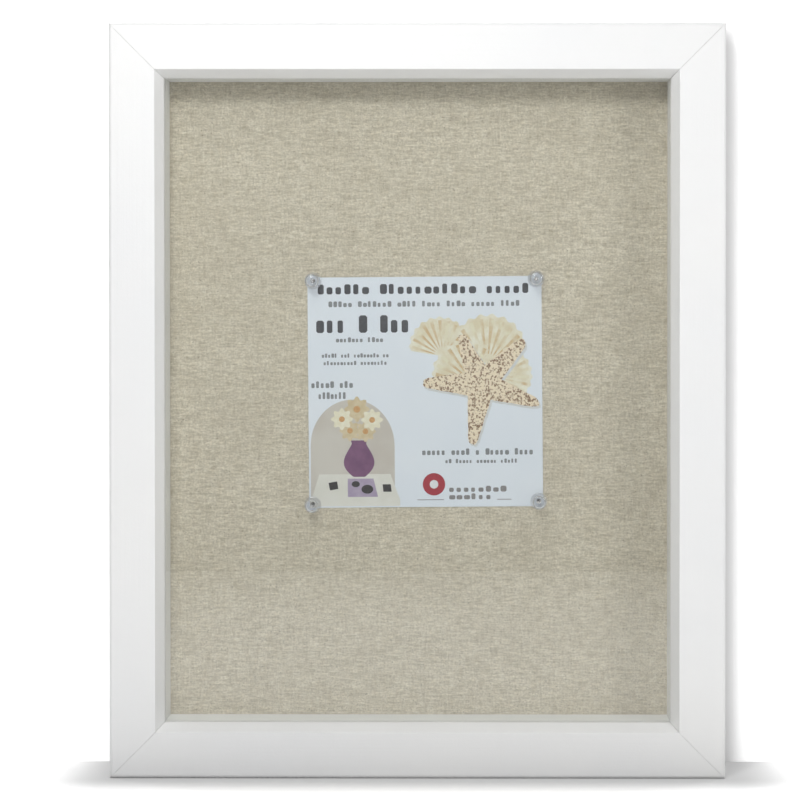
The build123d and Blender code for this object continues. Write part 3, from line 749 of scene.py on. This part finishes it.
def pin_profile(flange, bore, long):
    """Radius and height of a head, from the middle of its dome down to the end of its bore.

    The cap and the flange are rolled by half circles, and between them the radius falls to the
    waist and rises again with a little more than the square of the distance from it.
    """
    cap, waist, rim = 0.795 * flange, 0.495 * flange, 0.8 * MM
    cap_low, flange_top, dome = long - 3.0 * MM, 2 * rim, 0.8 * MM
    roll = 0.45 * MM
    t = np.linspace(0, 1, 12)
    dome_r = (cap - roll) * t[1:]
    dome_s = long - dome * (dome_r / cap) ** 2
    side = np.linspace(0, math.pi / 2, 7)[1:]
    upper_r = cap - roll + roll * np.sin(side)
    upper_s = dome_s[-1] - roll + roll * np.cos(side)
    lower_r = cap - roll + roll * np.cos(side)
    lower_s = cap_low + roll - roll * np.sin(side)
    level = np.linspace(0, 1, 20)[1:-1]
    ends = cap - roll + (flange - rim - (cap - roll)) * level
    waist_r = waist + (ends - waist) * np.abs(2 * level - 1) ** 2.2
    waist_s = cap_low + (flange_top - cap_low) * level
    turn = np.linspace(0, math.pi, 13)
    rim_r = flange - rim + rim * np.sin(turn)
    rim_s = rim + rim * np.cos(turn)
    radius = np.concatenate([dome_r, upper_r, [cap], lower_r, waist_r, rim_r, [bore, bore]])
    height = np.concatenate([dome_s, upper_s, [cap_low + roll], lower_s, waist_s, rim_s, [0, bore_deep]])
    return radius, height


def turned_head(name, middle, back_y, radius, height, material):
    """The profile turned about the needle's line, with a point at the dome and one in the bore."""
    around = np.linspace(0, 2 * math.pi, 64, endpoint=False)
    x = middle[0] + radius[:, None] * np.cos(around)
    z = middle[1] + radius[:, None] * np.sin(around)
    y = np.broadcast_to((back_y - height)[:, None], x.shape)
    rings = np.stack([x, y, z], -1).reshape(-1, 3)
    dome_tip = (middle[0], back_y - head_long, middle[1])
    bore_end = (middle[0], back_y - height[-1], middle[1])
    points = np.concatenate([rings, [dome_tip, bore_end]])
    rows, columns = x.shape
    loop = np.arange(columns)
    after = (loop + 1) % columns
    last = (rows - 1) * columns
    faces = grid_faces(rows, columns, closed=True)[:, ::-1].tolist()
    faces += np.stack([np.full(columns, len(rings)), loop, after], -1).tolist()
    faces += np.stack([np.full(columns, len(rings) + 1), last + after, last + loop], -1).tolist()
    return mesh_piece(name, points, faces, material)


acrylic_look = ((0.97, 0.97, 0.98), 1.49, (0.78, 0.78, 0.79), 0.02, 0.06)
# The pin heads get the painted rim highlight.
acrylic = clear_material("clear_acrylic", *acrylic_look, clarity=0.95, painted_rim_highlight=0.7)
bright_steel = metal("bright_steel", (0.72, 0.72, 0.73), (0.5, 0.5, 0.5), (0.0001, 0.003, 0.0001), 0.12, 0.3)
for place in ("top_left", "top_right", "bottom_left", "bottom_right"):
    head_low, head_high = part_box(f"push_pin_head_{place}")
    needle_low, needle_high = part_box(f"push_pin_needle_{place}")
    pin_middle = ((head_low.x + head_high.x) / 2, (head_low.z + head_high.z) / 2)
    bore_radius = (needle_high.x - needle_low.x) / 2 + 0.02 * MM
    profile = pin_profile((head_high.x - head_low.x) / 2, bore_radius, head_high.y - head_low.y)
    head = turned_head(f"pin_head_{place}", pin_middle, head_high.y, *profile, acrylic)
    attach(head, f"push_pin_{place}")
    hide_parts(f"push_pin_head_{place}")
    dress(bright_steel, f"push_pin_needle_{place}")


# ---- Stage and light ----------------------------------------------------------------------------
# A white floor that ends about a metre in front of the box, a white wall close behind it that is
# only there from the front, a small lamp high on the left, a large one overhead, one on the right
# and two behind. Floor and wall carry a painted shadow of the box, a little to its right and below.
def contact_shade_group():
    """A painted shadow: grey close to a block and white away from it, by the distance outside the block's
    faces.
    """
    inputs = [
        ("Point", "v", (0, 0, 0)),
        ("Middle", "v", (0, 0, 0)),
        ("Half Size", "v", (0.1, 0.1, 0.1)),
        ("Reach", "f", 0.01),
        ("Darkest", "f", 0.6),
    ]
    group, start, end = new_group("contact_shade", inputs, [("Color", "c")])
    point, middle, half = (start.outputs[label] for label in ("Point", "Middle", "Half Size"))
    from_middle = node(group, "VectorMath", {0: point, 1: middle}, operation="SUBTRACT").outputs[0]
    either_side = node(group, "VectorMath", {0: from_middle}, operation="ABSOLUTE").outputs[0]
    past = node(group, "VectorMath", {0: either_side, 1: half}, operation="SUBTRACT").outputs[0]
    outside = node(group, "VectorMath", {0: past, 1: (0, 0, 0)}, operation="MAXIMUM").outputs[0]
    away = node(group, "VectorMath", {0: outside}, operation="LENGTH").outputs["Value"]
    links = {"Value": away, "From Min": 0.0, "From Max": start.outputs["Reach"]}
    links.update({"To Min": start.outputs["Darkest"], "To Max": 1.0})
    grey = node(group, "MapRange", links, interpolation_type="SMOOTHSTEP").outputs[0]
    group.links.new(mixed(group, grey, (0, 0, 0, 1), (1, 1, 1, 1)), end.inputs["Color"])
    return group


contact_shade_tree = contact_shade_group()
box_half_x, box_half_y = rail_high.x, -front_y
box_half_z = rail_high.z / 2


def plain_white(name, seen, reach, darkest, one_sided=False):
    """Matt white that looks brighter than it shines on what is near it, with a painted shadow that greys it by
    the box.
    """
    material, tree, shader, output = new_material(name)
    shade = node(tree, "Group", {}, node_tree=contact_shade_tree)
    tree.links.new(object_point(tree), shade.inputs["Point"])
    # The painted shadow's block is moved 4 mm to the right and 4 mm down from the box.
    shade.inputs["Middle"].default_value = (4 * MM, 0, middle_z - 4 * MM)
    shade.inputs["Half Size"].default_value = (box_half_x, box_half_y, box_half_z)
    shade.inputs["Reach"].default_value = reach
    shade.inputs["Darkest"].default_value = darkest
    tree.links.new(shade.outputs["Color"], shader.inputs["Base Color"])
    shader.inputs["Roughness"].default_value = 0.9
    glow = node(tree, "Emission", {"Color": shade.outputs["Color"], "Strength": seen})
    lifted = node(tree, "AddShader", {0: shader.outputs[0], 1: glow.outputs[0]})
    straight = node(tree, "LightPath").outputs["Is Camera Ray"]
    shown = node(tree, "MixShader", {0: straight, 1: shader.outputs[0], 2: lifted.outputs[0]})
    if one_sided:
        clear = node(tree, "BsdfTransparent")
        behind = node(tree, "NewGeometry").outputs["Backfacing"]
        shown = node(tree, "MixShader", {0: behind, 1: shown.outputs[0], 2: clear.outputs[0]})
    tree.links.new(shown.outputs[0], output.inputs[0])
    return material


def flat_stage(name, corners, material):
    """One rectangle of the stage."""
    piece = mesh_piece(name, corners, [(0, 1, 2, 3)], material, smooth=False)
    return piece


wall_y = cad_box[1][1] + 1 * MM
floor_front = front_y - 1.08
flat_stage(
    "floor",
    [(-3, floor_front, 0), (3, floor_front, 0), (3, 3, 0), (-3, 3, 0)],
    plain_white("floor_white", 0.55, 65 * MM, 0.38),
)
wall = flat_stage(
    "wall",
    [(-3, wall_y, 0), (3, wall_y, 0), (3, wall_y, 4), (-3, wall_y, 4)],
    plain_white("wall_white", 0.55, 15 * MM, 0.36, one_sided=True),
)
wall.visible_shadow = False


def area_light(name, place, aim, size, power):
    """A round soft lamp, placed and aimed from the middle of the front, that the camera doesn't see."""
    data = bpy.data.lights.new(name, "AREA")
    data.shape = "DISK"
    data.size = size
    data.energy = power
    lamp = bpy.data.objects.new(name, data)
    lamp.location = (place[0], front_y + place[1], middle_z + place[2])
    toward = np.array(aim, float) - np.array(place, float)
    tilt = math.acos(-toward[2] / np.linalg.norm(toward))
    lamp.rotation_euler = (tilt, 0, math.atan2(toward[1], toward[0]) - math.pi / 2)
    lamp.visible_camera = False
    bpy.context.scene.collection.objects.link(lamp)
    return lamp


area_light("key_lamp", (-0.155, -0.70, 0.44), (-0.04, 0, 0.02), size=0.18, power=2.85)
area_light("overhead_lamp", (-0.10, -0.9, 0.95), (0, 0, 0), size=0.7, power=3.6)
area_light("right_lamp", (0.75, -0.70, 0.27), (-0.1, 0, -0.05), size=0.3, power=2.15)
area_light("left_rear_lamp", (-1.1, 0.7, 0.5), (0, 0.05, 0), size=0.5, power=3.2)
area_light("right_rear_lamp", (1.1, 0.9, 0.6), (0, 0.05, 0), size=0.5, power=4.5)

world = bpy.data.worlds.new("soft_room")
world.use_nodes = True
world.node_tree.nodes["Background"].inputs[0].default_value = (1, 1, 1, 1)
world.node_tree.nodes["Background"].inputs[1].default_value = 0.16
bpy.context.scene.world = world
bpy.context.scene.view_settings.view_transform = "Standard"
